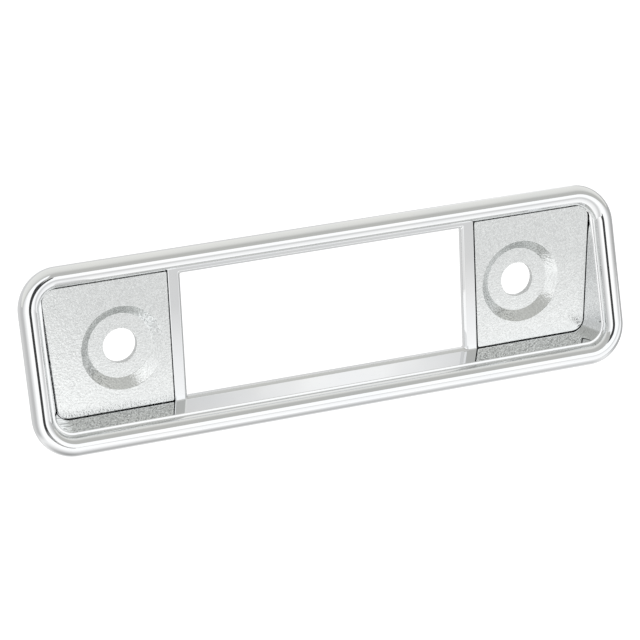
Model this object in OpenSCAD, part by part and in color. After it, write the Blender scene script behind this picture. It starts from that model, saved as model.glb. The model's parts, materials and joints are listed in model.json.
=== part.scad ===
// Letter plate frame: a chrome frame with a rolled rim, a leaning recess with a window through it,
// and a dished screw pad at each end, held by push-on clips on pegs behind it.
//
// Every part is drawn lying on its back edge, with X along the plate, Y up it and Z towards the front.
// stand() then turns it upright, so that its front faces -Y and +Z is up, with the origin midway
// between the two screw holes, on the plane of the seats that the screw heads bear on.

/* [Rim] */
// Length of the plate over its rolled rim
rim_length = 120; // [114:1:130]
// Height of the rolled rim, measured in its own leaning plane
rim_height = 35.1; // [34.6:0.1:36]
// Width of the half-round roll
rim_width = 3.9; // [3.6:0.1:4.2]
// Outside corner radius of the rim
rim_corner_r = 7.8; // [7.4:0.1:9]
// Angle that the rim plane leans back from the plane of the back edge
rim_lean = 11; // [9:0.5:12]
// Height of the middle of the rim above the line of the screw holes
rim_rise = 0.36; // [0:0.02:0.6]
// Depth of the flat band on the underside of the roll
rim_under = 0.45; // [0.3:0.05:0.6]

/* [Recess] */
// Depth of the recess floor behind the crest of the rim, at mid height
recess_depth = 4.34; // [4.1:0.02:4.8]
// Draft of the recess walls
wall_draft = 20.6; // [18:0.2:24]
// Width of the small ledge between the roll and the recess wall
ledge_width = 0.5; // [0.3:0.1:0.7]
// Corner radius at the foot of the recess wall
foot_corner_r = 2.6; // [2.2:0.1:3]

/* [Window] */
// Width of the window through the recess floor
window_width = 56.9; // [48:0.1:58]
// Height of the window
window_height = 24; // [20:0.1:24.4]
// Thickness of the lip round the window
lip_thickness = 1.4; // [1.2:0.1:1.8]
// Bevel on the front edge of the lip
lip_bevel = 0.5; // [0.3:0.1:0.6]
// Width of each upright bar between the window and a screw pad
bar_width = 2.5; // [2.2:0.1:3]

/* [Screw pads] */
// Distance between the two screw holes
hole_pitch = 81; // [79:0.5:83]
// Diameter of the screw hole
hole_d = 6.6; // [5.5:0.1:7]
// Diameter of the flat seat at the bottom of the dish
seat_d = 12.4; // [11:0.1:13]
// Diameter of the dish at the face of the pad
dish_d = 16.1; // [15:0.1:17]
// Depth of the dish
dish_depth = 1.6; // [1.2:0.1:1.8]
// Thickness of the pad
pad_thickness = 2.8; // [2.6:0.1:3.2]
// Gap round the pad in its pocket
pad_gap = 0.2; // [0.2:0.05:0.4]

/* [Back] */
// Thickness of the shelf that each pad rests on
shelf_thickness = 1.4; // [1.2:0.1:1.8]
// Depth from the back of the shelf to the back edge of the plate
back_reach = 1.4; // [1.3:0.1:2]
// Distance that the skirt stands in from the outside of the rim, at the ends
skirt_inset_x = 3.5; // [3.2:0.1:3.7]
// Distance that the skirt stands in from the outside of the rim, above and below
skirt_inset_y = 2.6; // [2.4:0.1:2.8]
// Thickness of the skirt where the back is hollowed
skirt_wall = 1.3; // [1.1:0.1:1.4]
// Bore of the boss behind each screw hole, wider than the hole so that only the pad guides the screw
boss_bore = 10.4; // [10:0.1:11]
// Outside diameter of that boss
boss_d = 13.4; // [13:0.1:14]

/* [Pegs and clips] */
// Diameter of the pegs on the back of each pad
peg_d = 2.5; // [2.2:0.1:2.8]
// Diameter of the hole in the shelf round each peg
peg_hole_d = 2.9; // [2.9:0.1:3.2]
// Outside diameter of a push-on clip
clip_d = 6.2; // [5.6:0.1:6.4]
// Thickness of the clip's spring steel
clip_thickness = 0.35; // [0.3:0.05:0.45]
// Number of prongs on a clip
clip_prongs = 6; // [4:1:6]

/* [Hidden] */
$fn = 64;
hull_fn = 32;
slack = 0.01;
reach = 40;

roll_r = rim_width / 2;
lean_sin = sin(rim_lean);
lean_cos = cos(rim_lean);
draft_tan = tan(wall_draft);

shelf_z = back_reach + shelf_thickness;
floor_z = shelf_z + pad_thickness;
seat_z = floor_z - dish_depth;

// Half sizes of the wall's top edge, where the small ledge ends, in the rim plane
wall_x = rim_length / 2 - rim_width - ledge_width;
wall_y = rim_height / 2 - rim_width - ledge_width;
wall_corner_r = rim_corner_r - rim_width - ledge_width;

// The wall leaves the ledge at the level of the roll's centre, and the floor leans away below it,
// so the side walls meet the floor along lines that lean by this much per unit of height
side_lean = draft_tan * lean_sin;
foot_x = wall_x - draft_tan * (recess_depth * lean_cos + rim_rise * lean_sin - roll_r);
foot_bottom = rim_rise + (draft_tan * (recess_depth * lean_cos - roll_r) - wall_y
    - recess_depth * lean_sin) / (lean_cos + draft_tan * lean_sin);
foot_top = rim_rise + (rim_height / 2 - rim_width - recess_depth * lean_sin) / lean_cos;

pocket_x = window_width / 2 + bar_width;
web_thickness = bar_width - lip_thickness;
skirt_x = rim_length / 2 - skirt_inset_x;
skirt_y = rim_height / 2 * lean_cos - skirt_inset_y;
skirt_corner_r = rim_corner_r - skirt_inset_y;

hole_x = hole_pitch / 2;
pegs = [for (x = [34.2, 50.6], y = [-8.4, 9.4]) [x, y]];
peg_length = shelf_thickness + 1.1;
clip_rise = 0.4;
clip_slot = 0.5;
clip_band = 0.8;

// Points on an arc
function arc(centre, r, from, to, steps = 8) =
    [for (i = [0:steps]) let (a = from + (to - from) * i / steps) centre + r * [cos(a), sin(a)]];

// The two rounded outer corners at the right-hand foot of the recess wall, brought in by inset
function foot_corners(inset) =
    let (
        r = foot_corner_r - inset,
        slope = sqrt(1 + side_lean * side_lean),
        x = foot_x - foot_corner_r * slope,
        low = foot_bottom + foot_corner_r,
        high = foot_top - foot_corner_r,
        side = -atan(side_lean)
    )
    concat(arc([x + side_lean * low, low], r, -90, side), arc([x + side_lean * high, high], r, side, 90));

// A list of points mirrored left to right, kept in the same turning direction
function mirrored(points) = [for (i = [len(points) - 1:-1:0]) [-points[i][0], points[i][1]]];

// Outline of the whole recess floor
function floor_outline() = concat(foot_corners(0), mirrored(foot_corners(0)));

// Outline of the right-hand pad's pocket, or of the pad itself when it is brought in by the gap
function pad_outline(inset) =
    concat(
        [[pocket_x + inset, foot_top - inset], [pocket_x + inset, foot_bottom + inset]],
        foot_corners(inset)
    );

module stand() rotate([90, 0, 0]) translate([0, 0, -seat_z]) children();

// Places a shape in the rim's leaning plane, with Z = 0 at the crest of the roll
module on_rim() translate([0, rim_rise, floor_z + recess_depth]) rotate([-rim_lean, 0, 0]) children();

module rounded_bar(half_x, half_y, r, height, fn = $fn)
    linear_extrude(height) {
        square([2 * half_x, 2 * (half_y - r)], center = true);
        square([2 * (half_x - r), 2 * half_y], center = true);
        for (sx = [-1, 1], sy = [-1, 1])
            translate([sx * (half_x - r), sy * (half_y - r)]) circle(r, $fn = fn);
    }

// Half-round roll with the small ledge on its inner side and a flat band under it
module roll_section() {
    intersection() {
        circle(roll_r);
        translate([-roll_r, 0]) square([2 * roll_r, roll_r]);
    }
    translate([-roll_r - ledge_width, -rim_under]) square([2 * roll_r + ledge_width, rim_under]);
}

// The roll carried round the rim: four straight runs and four quarter turns
module rim_ring() {
    bend = rim_corner_r - roll_r;
    run_x = rim_length / 2 - rim_corner_r;
    run_y = rim_height / 2 - rim_corner_r;
    for (side = [0, 1]) {
        rotate(180 * side) {
            translate([-run_x, -run_y - bend, -roll_r])
                rotate([90, 0, 90]) linear_extrude(2 * run_x) mirror([1, 0]) roll_section();
            translate([run_x + bend, run_y, -roll_r])
                rotate([90, 0, 0]) linear_extrude(2 * run_y) roll_section();
            for (turn = [0, 1])
                mirror([0, turn, 0])
                    translate([run_x, run_y, -roll_r])
                        rotate_extrude(angle = 90) translate([bend, 0]) roll_section();
        }
    }
}

// Solid body behind the rim, up to the level of the ledge
module skirt_block() {
    difference() {
        rounded_bar(skirt_x, skirt_y, skirt_corner_r, floor_z + 2 * recess_depth);
        on_rim() translate([-rim_length, -reach, -roll_r]) cube([2 * rim_length, 2 * reach, reach]);
    }
    rounded_bar(skirt_x, skirt_y, skirt_corner_r, floor_z);
}

// The space inside the drafted walls, from the floor to just above the ledge
module recess_space() {
    above = 0.5;
    hull() {
        translate([0, 0, floor_z]) linear_extrude(slack) polygon(floor_outline());
        on_rim() translate([0, 0, above - roll_r])
            rounded_bar(wall_x + above * draft_tan, wall_y + above * draft_tan, wall_corner_r, slack, hull_fn);
    }
}

module window_space() {
    translate([-window_width / 2, rim_rise - window_height / 2, -slack])
        cube([window_width, window_height, floor_z + recess_depth]);
    hull() {
        translate([-window_width / 2, rim_rise - window_height / 2, floor_z - lip_bevel])
            cube([window_width, window_height, slack]);
        translate([-window_width / 2 - lip_bevel, rim_rise - window_height / 2 - lip_bevel, floor_z])
            cube([window_width + 2 * lip_bevel, window_height + 2 * lip_bevel, slack]);
    }
}

// Hollows in the back: one behind the window lip, and one behind both shelves, round the bosses
module back_hollows() {
    hollow_x = skirt_x - skirt_wall;
    hollow_y = skirt_y - skirt_wall;
    web_x = pocket_x - web_thickness;
    translate([-web_x, -hollow_y, -slack]) cube([2 * web_x, 2 * hollow_y, floor_z - lip_thickness + slack]);
    difference() {
        translate([0, 0, -slack])
            rounded_bar(hollow_x, hollow_y, skirt_corner_r - skirt_wall, back_reach + slack);
        for (sx = [-1, 1])
            translate([sx * hole_x, 0, -2 * slack]) cylinder(d = boss_d, h = back_reach + 4 * slack);
    }
}

// Pocket of the right-hand pad, with the screw boss's bore and the peg holes through its shelf
module pad_pocket() {
    translate([0, 0, shelf_z]) linear_extrude(pad_thickness + slack) polygon(pad_outline(0));
    translate([hole_x, 0, -slack]) cylinder(d = boss_bore, h = floor_z);
    for (p = pegs)
        translate([p[0], p[1], -slack]) cylinder(d = peg_hole_d, h = floor_z);
}

module chrome_frame()
    color("gainsboro") stand()
        difference() {
            union() {
                on_rim() rim_ring();
                skirt_block();
            }
            recess_space();
            window_space();
            back_hollows();
            pad_pocket();
            mirror([1, 0, 0]) pad_pocket();
        }

// Dish with a coned side and a flat seat, and the screw hole through the seat
module dish_space() {
    rotate_extrude()
        polygon([
            [0, 0], [seat_d / 2, 0], [dish_d / 2, dish_depth], [dish_d / 2, dish_depth + 1], [0, dish_depth + 1]
        ]);
    translate([0, 0, dish_depth - pad_thickness - slack]) cylinder(d = hole_d, h = pad_thickness);
}

module screw_pad() {
    difference() {
        translate([0, 0, shelf_z]) linear_extrude(pad_thickness) polygon(pad_outline(pad_gap));
        translate([hole_x, 0, seat_z]) dish_space();
    }
    for (p = pegs)
        translate([p[0], p[1], shelf_z - peg_length]) cylinder(d = peg_d, h = peg_length + slack);
}

module left_screw_pad() color("darkgray") stand() mirror([1, 0, 0]) screw_pad();

module right_screw_pad() color("darkgray") stand() screw_pad();

// Push-on clip: a flat band with prongs that lean away from the shelf and grip the peg
module pad_clip() {
    band_r = clip_d / 2 - clip_band;
    difference() {
        rotate_extrude()
            polygon([
                [peg_d / 2, -clip_rise - clip_thickness], [band_r, -clip_thickness], [clip_d / 2, -clip_thickness],
                [clip_d / 2, 0], [band_r, 0], [peg_d / 2, -clip_rise]
            ]);
        for (i = [0:clip_prongs - 1])
            rotate(i * 360 / clip_prongs)
                translate([0, -clip_slot / 2, -clip_rise - 2 * clip_thickness])
                    cube([band_r, clip_slot, clip_rise + 3 * clip_thickness]);
    }
}

module pad_clips()
    for (p = pegs)
        translate([p[0], p[1], back_reach]) pad_clip();

module left_pad_clips() color("dimgray") stand() mirror([1, 0, 0]) pad_clips();

module right_pad_clips() color("dimgray") stand() pad_clips();

chrome_frame();
left_screw_pad();
right_screw_pad();
left_pad_clips();
right_pad_clips();
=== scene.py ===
"""Looks of the letter plate frame: a rolled chrome frame and two granular silver screw pads.

Sizes are in millimetres until a point enters the row frame. In a section of the plate, "front" is
the height above the plane of the back edge and "up" is the height above the screw holes.
"""

import json
import math

import bmesh
import bpy
from mathutils import Matrix, Vector


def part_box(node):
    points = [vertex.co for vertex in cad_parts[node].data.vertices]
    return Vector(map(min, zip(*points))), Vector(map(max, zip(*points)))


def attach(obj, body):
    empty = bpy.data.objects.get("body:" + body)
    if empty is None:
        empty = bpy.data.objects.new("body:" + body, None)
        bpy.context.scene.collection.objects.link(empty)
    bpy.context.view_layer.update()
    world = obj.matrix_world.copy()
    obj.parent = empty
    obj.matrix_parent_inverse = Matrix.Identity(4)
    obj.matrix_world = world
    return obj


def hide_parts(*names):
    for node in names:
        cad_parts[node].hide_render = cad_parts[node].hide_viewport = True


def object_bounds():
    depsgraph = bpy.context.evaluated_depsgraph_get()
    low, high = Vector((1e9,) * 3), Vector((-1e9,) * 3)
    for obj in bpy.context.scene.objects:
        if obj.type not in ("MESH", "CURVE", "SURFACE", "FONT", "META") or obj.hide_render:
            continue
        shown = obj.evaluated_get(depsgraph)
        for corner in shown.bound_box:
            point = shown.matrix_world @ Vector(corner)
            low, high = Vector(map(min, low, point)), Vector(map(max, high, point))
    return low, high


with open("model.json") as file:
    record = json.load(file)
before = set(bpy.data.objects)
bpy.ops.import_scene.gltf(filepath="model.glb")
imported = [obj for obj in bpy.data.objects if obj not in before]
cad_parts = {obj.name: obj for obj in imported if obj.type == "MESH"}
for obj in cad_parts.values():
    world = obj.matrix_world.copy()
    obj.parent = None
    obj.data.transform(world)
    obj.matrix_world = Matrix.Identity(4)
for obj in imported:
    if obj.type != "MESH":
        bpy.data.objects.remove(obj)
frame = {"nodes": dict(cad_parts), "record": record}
cad_low, cad_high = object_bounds()

MM = 0.001
WELD = 1e-7

# Sizes that the frame doesn't state
ROLL_R = 1.95
RIM_CORNER_R = 7.8
RIM_LEAN = math.radians(11)
RIM_UNDER = 0.45
LEDGE_WIDTH = 0.5
WALL_DRAFT = math.radians(20.6)
FOOT_CORNER_R = 2.6
WINDOW_WIDTH = 56.9
WINDOW_HEIGHT = 24.0
WINDOW_CORNER_R = 0.35
LIP_THICKNESS = 1.4
LIP_BEVEL = 0.5
SHELF_THICKNESS = 1.4
PAD_THICKNESS = 2.8
PAD_GAP = 0.2
SEAT_R = 6.2
DISH_R = 8.05
SKIRT_INSET_X = 3.5
SKIRT_INSET_Y = 2.6
SKIRT_WALL = 1.3
BAR_WIDTH = 2.5
BOSS_R = 6.7
BOSS_BORE_R = 5.2
PEG_R = 1.25
PEG_HOLE_R = 1.45
PEG_STANDS_OUT = 2.5
PEG_X = (34.2, 50.6)
PEG_UP = (-8.4, 9.4)

# Edges of the window's bevel: length and depth of their softening, and its reach over the floor
LIP_SOFT = 0.1
LIP_EASE = 0.03
LIP_REACH = 0.25

# Chamfer of a peg's tip, and how far its root goes into the pad
PEG_CHAMFER = 0.3
PEG_ROOT = 0.4

# Small edge roundings
BAND_EDGE = 0.12
ROLL_FOOT = 0.12
LEDGE_EDGE = 0.16
POCKET_EDGE = 0.06
FLOOR_FILLET = 0.25
BAR_EDGE = 0.2
PAD_EDGE = 0.08
DISH_EDGE = 0.12
HOLE_EDGE = 0.12
PAD_INNER_CORNER_R = 0.3

# Height over which the rounded edge of a bar ends at the recess walls, the least height of the ledge
# above the floor that still leaves a wall between them, and a distance too small to show
EDGE_TAPER = 0.05
LEDGE_SINKS = 0.15
CLOSE = 0.02

# Where cutting tools start, behind the back edge
BELOW = -1.0

# Brightness of the tent's white
WHITE = 1.09

# Mesh fineness: parts of an arc or a side, and the distance between columns on the long sides
ROLL_STEPS = 40
CORNER_STEPS = 24
EDGE_STEPS = 4
SIDE_STEPS = 6
PAD_SIDE_STEPS = 30
HOLE_STEPS = 96
PEG_STEPS = 48
RUN_STEP = 4.0

# Cosines of the angles within which a face counts as facing front or back, and a path as straight
FLAT = 0.999999
STRAIGHT = 0.9999

# Sizes worked out from the frame
pad_low, pad_high = (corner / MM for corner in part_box("right_screw_pad"))
mounts = {mount["name"]: mount for mount in frame["record"]["mounts"]}
hole_x = mounts["screw_holes"]["dims"]["spacing_x_mm"] / 2
hole_r = mounts["screw_holes"]["dims"]["hole_r_mm"]
back_y = cad_high.y / MM
floor_front = back_y - pad_low.y
shelf_front = floor_front - PAD_THICKNESS
seat_front = back_y

lean_sin, lean_cos = math.sin(RIM_LEAN), math.cos(RIM_LEAN)
draft_tan = math.tan(WALL_DRAFT)
rim_half_x = cad_high.x / MM
rim_rolls = ROLL_R * (1 + lean_cos) + RIM_UNDER * lean_sin
run_half_up = ((cad_high.z - cad_low.z) / MM - rim_rolls) / 2 / lean_cos
rim_half_up = run_half_up + ROLL_R
rim_rise = cad_high.z / MM - ROLL_R - run_half_up * lean_cos + ROLL_R * lean_sin
crest_front = back_y - cad_low.y / MM - ROLL_R - run_half_up * lean_sin + ROLL_R * lean_cos

pocket_x = pad_low.x - PAD_GAP
foot_bottom = pad_low.z - PAD_GAP
foot_top = pad_high.z + PAD_GAP
side_lean = draft_tan * lean_sin
wall_x = rim_half_x - 2 * ROLL_R - LEDGE_WIDTH
recess_depth = crest_front - floor_front
foot_x = wall_x - draft_tan * (recess_depth * lean_cos + rim_rise * lean_sin - ROLL_R)

# Places along a long side that have a column of points; four of them mark the edge of the bar
bar_x = pocket_x - BAR_EDGE
run_places = [RUN_STEP * i for i in range(math.ceil(bar_x / RUN_STEP))]
run_places += [bar_x - EDGE_TAPER, bar_x, pocket_x, pocket_x + EDGE_TAPER]
run_places += [pocket_x + RUN_STEP * i for i in range(1, 5)]


# ---------------------------------------------------------------- points and meshes


def plate(x, up, front):
    """A point of the plate, in the row frame."""
    return Vector((x, back_y - front, up)) * MM


def rim(x, up, height):
    """A point given in the rim's leaning plane, with height measured from the crest of the roll."""
    return plate(
        x,
        rim_rise + up * lean_cos + height * lean_sin,
        crest_front - up * lean_sin + height * lean_cos,
    )


def arc(centre, radius, first, last, steps):
    """Points on an arc in a plane, as (x, y)."""
    angles = [first + (last - first) * i / steps for i in range(steps + 1)]
    return [(centre[0] + radius * math.cos(a), centre[1] + radius * math.sin(a)) for a in angles]


def between(a, b, steps):
    """The points that divide the straight line from a to b, without its ends."""
    return [tuple(p + (q - p) * i / steps for p, q in zip(a, b)) for i in range(1, steps)]


def mirrored(points):
    """An outline's points mirrored left to right, kept in the same turning direction."""
    return [(-x, y) for x, y in reversed(points)]


def rounded(points, radii, steps=EDGE_STEPS):
    """The points of a path in space with each corner replaced by an arc of its radius. A corner of
    radius 0, or one that does not turn, gives as many points, all in one place."""
    path = [points[0]]
    for before, corner, after, radius in zip(points, points[1:], points[2:], radii):
        to_before = (before - corner).normalized()
        to_after = (after - corner).normalized()
        if radius == 0 or to_before.dot(to_after) < -STRAIGHT:
            path += [corner] * (steps + 1)
            continue
        half = to_before.angle(to_after) / 2
        centre = corner + (to_before + to_after).normalized() * (radius * MM / math.sin(half))
        start = corner + to_before * (radius * MM / math.tan(half)) - centre
        end = corner + to_after * (radius * MM / math.tan(half)) - centre
        turn = start.angle(end)
        for i in range(steps + 1):
            from_start = math.sin((1 - i / steps) * turn)
            from_end = math.sin(i / steps * turn)
            path.append(centre + (start * from_start + end * from_end) / math.sin(turn))
    return path + [points[-1]]


def skin(name, grids, caps=()):
    """One mesh object from grids of points and flat caps, welded where their points meet."""
    mesh_data = bmesh.new()
    found = {}

    def vertex(point):
        key = tuple(round(c / WELD) for c in point)
        if key not in found:
            found[key] = mesh_data.verts.new(point)
        return found[key]

    def face(points):
        corners = list(dict.fromkeys(vertex(p) for p in points))
        if len(corners) > 2:
            mesh_data.faces.new(corners)

    for rows in grids:
        for row, following in zip(rows, rows[1:]):
            for i in range(len(row) - 1):
                face((row[i], row[i + 1], following[i + 1], following[i]))
    for cap in caps:
        face(cap)
    bmesh.ops.recalc_face_normals(mesh_data, faces=mesh_data.faces)
    mesh = bpy.data.meshes.new(name)
    mesh_data.to_mesh(mesh)
    mesh_data.free()
    piece = bpy.data.objects.new(name, mesh)
    bpy.context.scene.collection.objects.link(piece)
    return piece


def closed(rows):
    """Rows with the first one repeated at the end, so that a grid closes on itself."""
    return rows + rows[:1]


def apply_modifiers(piece):
    """Replaces a piece's mesh by what its modifiers make of it."""
    bpy.context.view_layer.update()
    graph = bpy.context.evaluated_depsgraph_get()
    mesh = bpy.data.meshes.new_from_object(
        piece.evaluated_get(graph), preserve_all_data_layers=True, depsgraph=graph
    )
    piece.modifiers.clear()
    old, piece.data = piece.data, mesh
    bpy.data.meshes.remove(old)
    mesh.name = piece.name


def combine(piece, tool, operation):
    """Adds another closed mesh to a piece or cuts it away, and removes that mesh."""
    modifier = piece.modifiers.new("combine", "BOOLEAN")
    modifier.operation = operation
    modifier.solver = "MANIFOLD"
    modifier.object = tool
    apply_modifiers(piece)
    bpy.data.objects.remove(tool)


def smooth(piece, sharp_angle):
    """Smooth shading, with edges sharper than the angle kept sharp. The larger of two faces that
    meet smoothly keeps its own normal, and a flat front or back face always does."""
    mesh = piece.data
    limit = math.cos(math.radians(sharp_angle))
    flat_weight = 1e9
    meeting = [[] for _ in mesh.vertices]
    for face in mesh.polygons:
        weight = flat_weight if abs(face.normal.y) > FLAT else (face.area / MM**2) ** 2
        for vertex in face.vertices:
            meeting[vertex].append((face.normal.copy(), weight))
    normals = []
    for face in mesh.polygons:
        for vertex in face.vertices:
            total = Vector()
            for normal, weight in meeting[vertex]:
                if normal.dot(face.normal) > limit:
                    total += normal * weight
            normals.append(total.normalized())
    mesh.shade_smooth()
    mesh.set_sharp_from_angle(angle=math.radians(sharp_angle))
    mesh.normals_split_custom_set(normals)


def lathe(name, spots, section, steps=HOLE_STEPS):
    """A closed solid of revolution about a front-to-back axis at each spot (x, up).
    The section is a list of (radius, front), which starts and ends on the axis."""
    grids = []
    for x, up in spots:
        rows = []
        for i in range(steps):
            across, along = math.cos(2 * math.pi * i / steps), math.sin(2 * math.pi * i / steps)
            rows.append([plate(x + r * across, up + r * along, front) for r, front in section])
        grids.append(closed(rows))
    return skin(name, grids)


def prism(name, outline, low, high):
    """A straight solid with the same outline from one front height to another."""
    rings = [[plate(x, up, front) for x, up in closed(outline)] for front in (low, high)]
    return skin(name, [rings], [ring[:-1] for ring in rings])


# ---------------------------------------------------------------- the chrome frame


def half_outline(low, high, radius, side=0.0):
    """The right-hand half of an outline, anticlockwise from its bottom middle. low and high are the
    centres of its two corner arcs, and side is the angle that its right-hand side faces."""
    lower = arc(low, radius, -math.pi / 2, side, CORNER_STEPS)
    upper = arc(high, radius, side, math.pi / 2, CORNER_STEPS)
    bottom = [(x, low[1] - radius) for x in run_places]
    top = [(x, high[1] + radius) for x in reversed(run_places)]
    return bottom + lower + between(lower[-1], upper[0], SIDE_STEPS) + upper + top


def whole_outline(*args):
    """An outline that is the same left to right."""
    half = half_outline(*args)
    return half + mirrored(half[1:-1])


def rounded_rectangle(half_x, half_up, radius):
    x, up = half_x - radius, half_up - radius
    return whole_outline((x, -up), (x, up), radius)


def rim_outline(inset):
    """Outline at a distance in from the outside of the rim, in the rim's plane."""
    return rounded_rectangle(rim_half_x - inset, rim_half_up - inset, RIM_CORNER_R - inset)


def foot_corners(inset):
    """Centres and radius of the right-hand corner arcs at the foot of the recess wall, and the angle
    that its right-hand side faces."""
    x = foot_x - FOOT_CORNER_R * math.sqrt(1 + side_lean**2)
    low = foot_bottom + FOOT_CORNER_R
    high = foot_top - FOOT_CORNER_R
    lower = (x + side_lean * low, low)
    upper = (x + side_lean * high, high)
    return lower, upper, FOOT_CORNER_R - inset, -math.atan(side_lean)


def roll_section():
    """The roll and its ledge as (inset from the outside of the rim, height), from the flat band
    under its outer side, over the crest, to where the ledge's inner edge starts to round."""
    foot_centre = ROLL_R + math.sqrt((ROLL_R + ROLL_FOOT) ** 2 - ROLL_FOOT**2)
    meet = math.asin(ROLL_FOOT / (ROLL_R + ROLL_FOOT))
    crest = arc((ROLL_R, -ROLL_R), ROLL_R, math.pi, meet, ROLL_STEPS)
    foot = arc((foot_centre, -ROLL_R + ROLL_FOOT), ROLL_FOOT, math.pi + meet, math.pi * 1.5, EDGE_STEPS)
    return crest + foot[1:]


def rim_up_at(up, height):
    """How far up the rim's leaning plane a point of that height is, from how far up the plate it is."""
    return (up - rim_rise - height * lean_sin) / lean_cos


def reach(point):
    """How far a point lies outside the centres of the rim's corners, seen from the front."""
    core_up = (rim_half_up - RIM_CORNER_R) * lean_cos
    middle = rim_rise - ROLL_R * lean_sin
    beside = abs(point.x) / MM - rim_half_x + RIM_CORNER_R
    beyond = abs(point.z / MM - middle) - core_up
    return math.hypot(max(beside, 0), max(beyond, 0))


def stop_at_floor(path, floor_y):
    """The path with its end, if that is below the floor, brought back to where it meets the floor."""
    last = max(i for i, point in enumerate(path) if point.y < floor_y)
    if last == len(path) - 1:
        return path
    above, below = path[last : last + 2]
    meeting = above.lerp(below, (floor_y - above.y) / (below.y - above.y))
    return path[: last + 1] + [meeting] * (len(path) - last - 1)


def recess_wall(x, up, roll, corner):
    """The roll and the points of the recess wall below it at one place. corner is the ledge's inner
    edge. Where the ledge lies at the floor or behind it, the roll itself ends at the floor."""
    in_pocket = abs(x) > pocket_x
    at_pocket = bar_x - WELD / MM < abs(x) < pocket_x + WELD / MM
    meet = plate(x, up, floor_front)
    if reach(meet) > reach(corner):
        corner = plate(x, up, crest_front - rim_up_at(up, -ROLL_R) * lean_sin - ROLL_R * lean_cos)
    lift = (meet.y - corner.y) / MM
    if lift > LEDGE_SINKS:
        edge_radius = 0 if at_pocket else POCKET_EDGE if in_pocket else FLOOR_FILLET
        beyond = plate(x, up, shelf_front) if in_pocket else plate(x, 0, floor_front)
        radii = [min(LEDGE_EDGE, lift / 3), min(edge_radius, lift / 3)]
        return roll, rounded([roll[-1], corner, meet, beyond], radii)[1:-1]
    roll = stop_at_floor(roll, meet.y)
    end = meet if reach(meet) < reach(roll[-1]) - CLOSE else roll[-1]
    return roll, [roll[-1]] * (EDGE_STEPS + 1) + [end] * (EDGE_STEPS + 1)


def frame_columns():
    """The outline of the foot of the recess wall, and one column of points for each place on it: from
    the back edge, out under the roll, over it, and down the wall to the rounding at its foot."""
    skirt = rounded_rectangle(
        rim_half_x - SKIRT_INSET_X, rim_half_up * lean_cos - SKIRT_INSET_Y, RIM_CORNER_R - SKIRT_INSET_Y
    )
    section = roll_section()
    rings = [rim_outline(inset) for inset, height in section]
    band = rim_outline(0)
    ledge = rim_outline(2 * ROLL_R + LEDGE_WIDTH)
    foot = whole_outline(*foot_corners(0))
    under = -ROLL_R - RIM_UNDER
    columns = []
    for i, (x, up) in enumerate(foot):
        skirt_x, skirt_up = skirt[i]
        start = [plate(skirt_x, skirt_up, 0), rim(skirt_x, rim_up_at(skirt_up, under), under)]
        outer = rounded([start[1], rim(*band[i], under), rim(*band[i], -ROLL_R)], [BAND_EDGE])[1:-1]
        roll = [rim(*ring[i], height) for ring, (_, height) in zip(rings, section)]
        roll, wall = recess_wall(x, up, roll, rim(*ledge[i], -ROLL_R))
        columns.append(start + outer + roll + wall)
    return foot, columns


def bar_edge(low, high):
    """The rounded edge of the right-hand bar beside its pad, as one small arc for each height. It
    stops just short of the recess walls at low and high."""
    heights = (low, low + EDGE_TAPER, high - EDGE_TAPER, high)
    arcs = []
    for up, radius in zip(heights, (0, BAR_EDGE, BAR_EDGE, 0)):
        curve = arc((pocket_x - radius, floor_front - radius), radius, 0, math.pi / 2, EDGE_STEPS)
        arcs.append([plate(x, up, front) for x, front in curve])
    return arcs


def flip(points):
    """Row-frame points mirrored left to right."""
    return [Vector((-p.x, p.y, p.z)) for p in points]


def solid_frame():
    """The frame before its window, back hollows and bores are cut: rim, walls, pockets and floor."""
    foot, columns = frame_columns()
    edge = [column[-1] for column in columns]
    last_right = len(half_outline(*foot_corners(0))) - 1
    in_pocket = [i for i, (x, _) in enumerate(foot) if x > pocket_x - WELD / MM]
    wall_low = edge[in_pocket[0]].z / MM
    wall_high = edge[in_pocket[-1]].z / MM
    arcs = bar_edge(wall_low, wall_high)
    heights = (foot_top, foot_top - EDGE_TAPER, foot_bottom + EDGE_TAPER, foot_bottom)
    beside = [plate(pocket_x, up, shelf_front) for up in heights]
    pocket_top = [edge[i] for i in in_pocket] + [curve[0] for curve in reversed(arcs)][1:]
    pocket_shelf = [plate(*foot[i], shelf_front) for i in in_pocket] + beside[1:]
    floor_right = [curve[-1] for curve in arcs]
    top_run = [edge[i] for i in range(in_pocket[-1] + 1, last_right + 1)]
    bottom_run = [edge[i] for i in range(in_pocket[0])]
    floor_half = bottom_run + floor_right + top_run
    floor_cap = floor_half + list(reversed(flip(floor_half[1:-1])))
    back_cap = [column[0] for column in columns]
    grids = [closed(columns), arcs, [flip(a) for a in arcs]]
    caps = [back_cap, floor_cap, pocket_shelf[:-1], flip(pocket_shelf[:-1])]
    grids += [[pocket_top, pocket_shelf], [flip(pocket_top), flip(pocket_shelf)]]
    return skin("rolled_chrome_frame", grids, caps)


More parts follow.
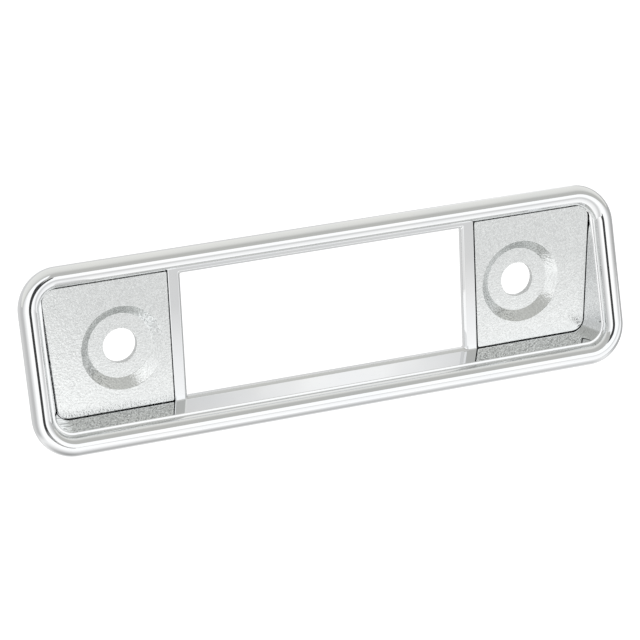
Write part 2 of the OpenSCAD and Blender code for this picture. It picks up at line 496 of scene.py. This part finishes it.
def window_tool():
    """What is cut away for the window: straight sides and a flared front that bevels the lip."""
    section = (
        (0, BELOW),
        (0, floor_front - LIP_BEVEL - LIP_SOFT),
        (LIP_EASE, floor_front - LIP_BEVEL),
        (LIP_SOFT, floor_front - LIP_BEVEL + LIP_SOFT),
        (LIP_BEVEL - LIP_SOFT, floor_front - LIP_SOFT),
        (LIP_BEVEL, floor_front - LIP_EASE),
        (LIP_BEVEL + LIP_REACH, floor_front + LIP_EASE),
    )
    rings = []
    for flare, front in section:
        x = WINDOW_WIDTH / 2 + flare - WINDOW_CORNER_R
        up = WINDOW_HEIGHT / 2 + flare - WINDOW_CORNER_R
        corners = [(x, rim_rise - up), (x, rim_rise + up), (-x, rim_rise + up), (-x, rim_rise - up)]
        ring = []
        for turn, corner in enumerate(corners):
            first = (turn - 1) * math.pi / 2
            ring += arc(corner, WINDOW_CORNER_R, first, first + math.pi / 2, EDGE_STEPS)
        rings.append([plate(*p, front) for p in closed(ring)])
    return skin("window_tool", [rings], [rings[0][:-1], rings[-1][:-1]])


def rectangle(half_x, half_up):
    return [(half_x, -half_up), (half_x, half_up), (-half_x, half_up), (-half_x, -half_up)]


def hollow_tools(spots):
    """What is cut away from the back: a shallow hollow round the bosses, and a deeper one behind the
    window, between the webs of the two bars."""
    hollow_x = rim_half_x - SKIRT_INSET_X - SKIRT_WALL
    hollow_up = rim_half_up * lean_cos - SKIRT_INSET_Y - SKIRT_WALL
    web_x = pocket_x - (BAR_WIDTH - LIP_THICKNESS)
    outline = rounded_rectangle(hollow_x, hollow_up, RIM_CORNER_R - SKIRT_INSET_Y - SKIRT_WALL)
    shallow = prism("shallow_hollow", outline, BELOW, shelf_front - SHELF_THICKNESS)
    boss = [(0, 2 * BELOW), (BOSS_R, 2 * BELOW), (BOSS_R, shelf_front), (0, shelf_front)]
    combine(shallow, lathe("bosses", spots, boss), "DIFFERENCE")
    lip_back = floor_front - LIP_THICKNESS
    return shallow, prism("window_hollow", rectangle(web_x, hollow_up), BELOW, lip_back)


def hole_tool(name, spots, radius):
    """Straight round holes through the shelves."""
    section = [(0, BELOW), (radius, BELOW), (radius, floor_front), (0, floor_front)]
    return lathe(name, spots, section)


def chrome_frame():
    piece = solid_frame()
    spots = [(side * hole_x, 0) for side in (-1, 1)]
    pegs = [(side * x, up) for side in (-1, 1) for x in PEG_X for up in PEG_UP]
    tools = [*hollow_tools(spots), window_tool()]
    tools += [hole_tool("bores", spots, BOSS_BORE_R), hole_tool("peg_holes", pegs, PEG_HOLE_R)]
    for tool in tools:
        combine(piece, tool, "DIFFERENCE")
    smooth(piece, sharp_angle=30)
    return piece


# ---------------------------------------------------------------- the screw pads


def pad_outline():
    """Outline of the right-hand pad, brought in from its pocket's outline, anticlockwise."""
    low, high, radius, side = foot_corners(PAD_GAP)
    inner_r = PAD_INNER_CORNER_R
    x = pad_low.x + inner_r
    bottom = low[1] - radius
    top = high[1] + radius
    corners = [
        arc((x, bottom + inner_r), inner_r, math.pi, math.pi * 1.5, EDGE_STEPS),
        arc(low, radius, -math.pi / 2, side, CORNER_STEPS // 2),
        arc(high, radius, side, math.pi / 2, CORNER_STEPS // 2),
        arc((x, top - inner_r), inner_r, math.pi / 2, math.pi, EDGE_STEPS),
    ]
    outline = []
    for corner, following in zip(corners, corners[1:] + corners[:1]):
        outline += corner + between(corner[-1], following[0], PAD_SIDE_STEPS)
    return outline


def pad_column(outside, angle):
    """A section of the pad from the back of its screw hole, over its face, to its outer edge."""
    def at(radius, front):
        return plate(hole_x + radius * math.cos(angle), radius * math.sin(angle), front)

    beside_hole = 1.0
    start = at(hole_r + beside_hole, shelf_front)
    points = [
        start,
        at(hole_r, shelf_front),
        at(hole_r, seat_front),
        at(SEAT_R, seat_front),
        at(DISH_R, floor_front),
        plate(*outside, floor_front),
        plate(*outside, shelf_front),
        start,
    ]
    return rounded(points, [HOLE_EDGE, HOLE_EDGE, HOLE_EDGE, DISH_EDGE, PAD_EDGE, HOLE_EDGE])[:-1]


def screw_pad(name, side):
    """The pad with its dish, hole and four pegs; the left-hand one is the right-hand one mirrored."""
    columns = []
    for x, up in pad_outline():
        column = pad_column((x, up), math.atan2(up, x - hole_x))
        columns.append([Vector((side * p.x, p.y, p.z)) for p in closed(column)])
    piece = skin(name, [closed(columns)])
    tip = shelf_front - PEG_STANDS_OUT
    root = shelf_front + PEG_ROOT
    chamfer = [(PEG_R - PEG_CHAMFER, tip), (PEG_R, tip + PEG_CHAMFER)]
    section = [(0, tip), *chamfer, (PEG_R, root), (0, root)]
    spots = [(side * x, up) for x in PEG_X for up in PEG_UP]
    combine(piece, lathe("pegs", spots, section, PEG_STEPS), "UNION")
    smooth(piece, sharp_angle=35)
    return piece


# ---------------------------------------------------------------- materials


def paint(piece, material):
    """Gives every face of a piece one material."""
    piece.data.materials.clear()
    piece.data.materials.append(material)
    piece.data.polygons.foreach_set("material_index", [0] * len(piece.data.polygons))


class Nodes:
    """Short ways to add and join shader nodes."""

    def __init__(self, tree):
        self.tree = tree

    def add(self, kind, inputs=(), **settings):
        node = self.tree.nodes.new(kind)
        for key, value in settings.items():
            setattr(node, key, value)
        for key, value in dict(inputs).items():
            self.put(value, node.inputs[key])
        return node

    def put(self, value, socket):
        if isinstance(value, bpy.types.NodeSocket):
            self.tree.links.new(value, socket)
        else:
            socket.default_value = value

    def math(self, operation, *values):
        return self.add("ShaderNodeMath", dict(enumerate(values)), operation=operation).outputs[0]

    def span(self, value, low, high, new_low=0.0, new_high=1.0, kind="SMOOTHSTEP"):
        """The value moved from the range low to high to the new one, and held at its ends."""
        inputs = dict(enumerate((value, low, high, new_low, new_high)))
        return self.add("ShaderNodeMapRange", inputs, interpolation_type=kind).outputs[0]

    def noise(self, scale, detail=2.0):
        place = self.add("ShaderNodeTexCoord").outputs["Object"]
        settings = {"Vector": place, "Scale": scale, "Detail": detail}
        return self.add("ShaderNodeTexNoise", settings).outputs["Fac"]

    def bump(self, height, distance, strength=1.0):
        settings = {"Strength": strength, "Distance": distance, "Height": height}
        return self.add("ShaderNodeBump", settings).outputs[0]

    def levels(self, value, stops):
        """Brightness given at a list of (place, level), and changing evenly between them."""
        low, high = stops[0][0], stops[-1][0]
        share = self.span(value, low, high, 0.0, 1.0, "LINEAR")
        colour = self.ramp(share, [((place - low) / (high - low), level) for place, level in stops])
        return self.add("ShaderNodeSeparateColor", {0: colour}).outputs[0]

    def ramp(self, value, stops):
        """Colours, or levels of grey, at a list of (place, colour)."""
        node = self.add("ShaderNodeValToRGB", {"Fac": value})
        elements = node.color_ramp.elements
        while len(elements) < len(stops):
            elements.new(1.0)
        for element, (place, level) in zip(elements, stops):
            element.position = place
            element.color = (level, level, level, 1) if isinstance(level, float) else (*level, 1)
        return node.outputs["Color"]


def new_material(name, **settings):
    """A material with a Principled surface, and the helper that adds nodes to it."""
    material = bpy.data.materials.new(name)
    material.use_nodes = True
    surface = material.node_tree.nodes["Principled BSDF"]
    for key, value in settings.items():
        surface.inputs[key.replace("_", " ")].default_value = value
    return material, surface, Nodes(material.node_tree)


def chrome_material():
    """Bright chrome plate over a casting: nearly a mirror, with slow waves and faint polishing haze."""
    material, surface, nodes = new_material("chrome", Metallic=1.0)
    cool, warm = (0.90, 0.915, 0.93), (0.935, 0.94, 0.94)
    wave_height = 0.00002
    haze = nodes.span(nodes.noise(900, 3), 0.35, 0.75, 0.02, 0.07)
    nodes.put(nodes.ramp(nodes.noise(60), ((0.3, cool), (0.7, warm))), surface.inputs["Base Color"])
    nodes.put(haze, surface.inputs["Roughness"])
    nodes.put(nodes.bump(nodes.noise(120, 1), wave_height), surface.inputs["Normal"])
    return material


def flakes_with_painted_slant_shade(nodes):
    """How bright each flake is: each flake has its own random brightness, and painted sparkle and
    painted shade follow the viewing slant, so that seen at a slant the flakes differ most and are darker
    on average.
    """
    flakes_per_metre = 3900.0
    shuffle = 7.0
    place = nodes.add("ShaderNodeTexCoord").outputs["Object"]
    cells = nodes.add("ShaderNodeTexVoronoi", {"Vector": place, "Scale": flakes_per_metre})
    speck = nodes.math("FRACT", nodes.math("MULTIPLY", cells.outputs["Color"], shuffle))
    slant = nodes.add("ShaderNodeLayerWeight", {"Blend": 0.5}).outputs["Facing"]
    # Painted sparkle: the spread of the flakes' brightness grows, then shrinks, as the surface is seen
    # at more of a slant.
    rising = nodes.span(slant, 0.14, 0.28, 0.16, 0.74, "LINEAR")
    falling = nodes.span(slant, 0.32, 0.45, 1.0, 0.35)
    painted_sparkle_contrast = nodes.math("MULTIPLY", rising, falling)
    # Painted shade: the flakes' average brightness drops as the surface is seen at more of a slant.
    painted_slant_shade = nodes.span(slant, 0.30, 0.50, 0.89, 0.74)
    off_mean = nodes.math("MULTIPLY", nodes.math("SUBTRACT", speck, 0.5), painted_sparkle_contrast)
    return nodes.math("ADD", painted_slant_shade, off_mean)


def silver_paint_material():
    """Granular silver paint: bright flakes in a fine, bumpy coat, with painted shade and painted sparkle
    by viewing slant in its colour.
    """
    material, surface, nodes = new_material("silver_paint", Metallic=1.0)
    black, silver = (0.0, 0.0, 0.0), (0.98, 1.0, 0.995)
    lump_height = 0.00006
    grain = nodes.span(nodes.noise(6000, 2), 0.3, 0.7, 0.10, 0.18)
    # The base colour holds the flakes' own brightness plus the painted sparkle and painted shade that
    # follow the viewing slant.
    colour = nodes.ramp(flakes_with_painted_slant_shade(nodes), ((0.0, black), (1.0, silver)))
    nodes.put(colour, surface.inputs["Base Color"])
    nodes.put(grain, surface.inputs["Roughness"])
    nodes.put(nodes.bump(nodes.noise(2600, 3), lump_height), surface.inputs["Normal"])
    return material


def spring_steel_material():
    """Dark phosphated spring steel, a little mottled."""
    material, surface, nodes = new_material("spring_steel", Metallic=1.0)
    dark, light = (0.17, 0.17, 0.18), (0.30, 0.30, 0.31)
    pit_depth = 0.00002
    mottle = nodes.noise(1500, 4)
    nodes.put(nodes.ramp(mottle, ((0.3, dark), (0.7, light))), surface.inputs["Base Color"])
    nodes.put(nodes.span(mottle, 0.3, 0.7, 0.28, 0.45), surface.inputs["Roughness"])
    nodes.put(nodes.bump(mottle, pit_depth, 0.6), surface.inputs["Normal"])
    return material


# ---------------------------------------------------------------- studio


def tent_brightness(nodes, direction):
    """The tent's brightness in a direction. It is set as (degrees, brightness) by azimuth, which is 0
    in front of the plate, and by elevation below the horizon. The differences between the sides
    fade out far up and far down."""
    split = nodes.add("ShaderNodeSeparateXYZ", {0: direction})
    x, y, z = (split.outputs[i] for i in range(3))
    elevation = nodes.math("DEGREES", nodes.math("ARCSINE", z))
    azimuth = nodes.math("DEGREES", nodes.math("ARCTAN2", x, nodes.math("MULTIPLY", y, -1.0)))
    around = nodes.levels(azimuth, (
        (-180, 0.63), (-130, 0.62), (-110, 0.54), (-96, 0.50), (-82, 0.50), (-70, 0.67), (-57, 0.82),
        (-44, 1.0), (28, 1.0), (40, 0.92), (54, 0.66), (70, 0.52), (87, 0.39), (112, 0.40),
        (151.6, 0.60), (152.2, 0.88), (155.0, 0.88), (156.8, 0.64), (180, 0.63),
    ))
    below = nodes.levels(elevation, (
        (-90, 0.32), (-71, 0.47), (-57, 0.68), (-43, 0.88), (-31, 1.0), (0, 1.0),
    ))
    not_low = nodes.span(elevation, -50, -30, 0.0, 1.0)
    not_high = nodes.span(elevation, 55, 70, 1.0, 0.0)
    at_sides = nodes.math("MULTIPLY", not_low, not_high)
    sides = nodes.span(at_sides, 0.0, 1.0, 1.0, around, "LINEAR")
    return nodes.math("MULTIPLY", nodes.math("MULTIPLY", below, sides), WHITE)


def tent():
    """A white light tent: white in front, dimmer to the sides and under the plate. The camera itself
    sees plain white."""
    world = bpy.data.worlds.new("tent")
    bpy.context.scene.world = world
    world.use_nodes = True
    world.node_tree.nodes.clear()
    nodes = Nodes(world.node_tree)
    direction = nodes.add("ShaderNodeTexCoord").outputs["Generated"]
    white = (1, 1, 1, 1)
    shade = tent_brightness(nodes, direction)
    reflected = nodes.add("ShaderNodeBackground", {"Color": white, "Strength": shade})
    seen = nodes.add("ShaderNodeBackground", {"Color": white, "Strength": 1.0})
    from_camera = nodes.add("ShaderNodeLightPath").outputs["Is Camera Ray"]
    mix = nodes.add("ShaderNodeMixShader", {0: from_camera, 1: reflected.outputs[0], 2: seen.outputs[0]})
    nodes.add("ShaderNodeOutputWorld", {0: mix.outputs[0]})


def card(name, low, high, axis, levels, tint=(1, 1, 1)):
    """A flat card that only reflections see. low and high are its opposite corners, in millimetres,
    and levels is its brightness at places along one axis."""
    a, c = Vector(low) * MM, Vector(high) * MM
    b = Vector((c.x, a.y, a.z))
    mesh = bpy.data.meshes.new(name)
    mesh.from_pydata([a, b, c, a + c - b], [], [(0, 1, 2, 3)])
    piece = bpy.data.objects.new(name, mesh)
    bpy.context.scene.collection.objects.link(piece)
    material = bpy.data.materials.new(name)
    material.use_nodes = True
    material.node_tree.nodes.clear()
    nodes = Nodes(material.node_tree)
    place = nodes.add("ShaderNodeSeparateXYZ", {0: nodes.add("ShaderNodeTexCoord").outputs["Object"]})
    along = nodes.math("MULTIPLY", place.outputs["XYZ".index(axis)], 1 / MM)
    strength = nodes.math("MULTIPLY", nodes.levels(along, levels), WHITE)
    glow = nodes.add("ShaderNodeEmission", {"Color": (*tint, 1), "Strength": strength})
    nodes.add("ShaderNodeOutputMaterial", {0: glow.outputs[0]})
    mesh.materials.append(material)
    piece.visible_camera = False
    piece.visible_diffuse = False
    piece.visible_shadow = False


def cards():
    """The ceiling with a darker strip over the plate, the opening that the camera looks in through,
    and the table in front. The ceiling's left end stops short, so its front part is a second card."""
    ceiling_up = 58
    ceiling_tint = (1.0, 1.0, 0.965)
    strip_front, strip_back = -113, -35
    table_up = -22
    opening_y = -460
    card("ceiling", (-400, strip_back, ceiling_up), (400, 60, ceiling_up), "Y", (
        (strip_back, 0.48), (-27, 0.53), (-14, 0.66), (-3, 0.71), (15, 0.74), (60, 0.78),
    ), ceiling_tint)
    card("ceiling_front", (-48, strip_front, ceiling_up), (400, strip_back, ceiling_up), "Y", (
        (strip_front, 0.46), (strip_back, 0.47),
    ), ceiling_tint)
    card("opening", (-150, opening_y, -100), (62, opening_y, 330), "Z", (
        (-100, 0.4), (-30, 0.05), (250, 0.05), (330, 0.5),
    ))
    card("table", (-35, -400, table_up), (260, -14, table_up), "Y", (
        (-400, 1.0), (-200, 0.85), (-120, 0.62), (-88, 0.64), (-54, 0.83), (-25, 0.95), (-14, 1.0),
    ))


def floor():
    """A plain pale floor, well below the plate, which lights it softly but isn't reflected in it."""
    size = 6.0
    drop = 0.06
    pale, white = (0.85, 0.85, 0.85, 1), (1, 1, 1, 1)
    bpy.ops.mesh.primitive_plane_add(size=size, location=(0, 0, cad_low.z - drop))
    ground = bpy.context.object
    ground.name = "pale_floor"
    material, surface, nodes = new_material("pale_floor", Roughness=0.9, Emission_Strength=0.45)
    nodes.put(pale, surface.inputs["Base Color"])
    nodes.put(white, surface.inputs["Emission Color"])
    ground.data.materials.append(material)
    ground.visible_glossy = False


def placed(right, up, back, place):
    """The matrix of an object with these axes at this place."""
    rows = [(*axes, p) for axes, p in zip(zip(right, up, back), place)]
    return Matrix(rows + [(0, 0, 0, 1)])


def camera():
    """A long lens from the front left, a little above, turned slightly anticlockwise."""
    azimuth = math.radians(21.399)
    elevation = math.radians(17.872)
    roll = math.radians(2.689)
    distance = 0.5909
    aim = Vector((-0.00155, -0.00216, -0.00084))
    level = Vector((math.sin(azimuth), math.cos(azimuth), 0))
    forward = level * math.cos(elevation) - Vector((0, 0, math.sin(elevation)))
    level_right = forward.cross(Vector((0, 0, 1))).normalized()
    level_up = level_right.cross(forward)
    right = level_right * math.cos(roll) - level_up * math.sin(roll)
    up = right.cross(forward)
    lens = bpy.data.cameras.new("camera")
    lens.lens = 176.63
    lens.clip_start = 0.05
    eye = bpy.data.objects.new("camera", lens)
    bpy.context.scene.collection.objects.link(eye)
    eye.matrix_world = placed(right, up, -forward, aim - forward * distance)
    bpy.context.scene.camera = eye


# ---------------------------------------------------------------- build

camera()
tent()
cards()
floor()
bpy.context.scene.view_settings.view_transform = "Standard"

chrome = chrome_material()
silver_paint = silver_paint_material()
spring_steel = spring_steel_material()

shell = chrome_frame()
paint(shell, chrome)
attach(shell, "root")
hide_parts("chrome_frame")

for side, node in ((-1, "left_screw_pad"), (1, "right_screw_pad")):
    pad = screw_pad("granular_" + node, side)
    paint(pad, silver_paint)
    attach(pad, "root")
    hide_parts(node)

for node in ("left_pad_clips", "right_pad_clips"):
    paint(frame["nodes"][node], spring_steel)
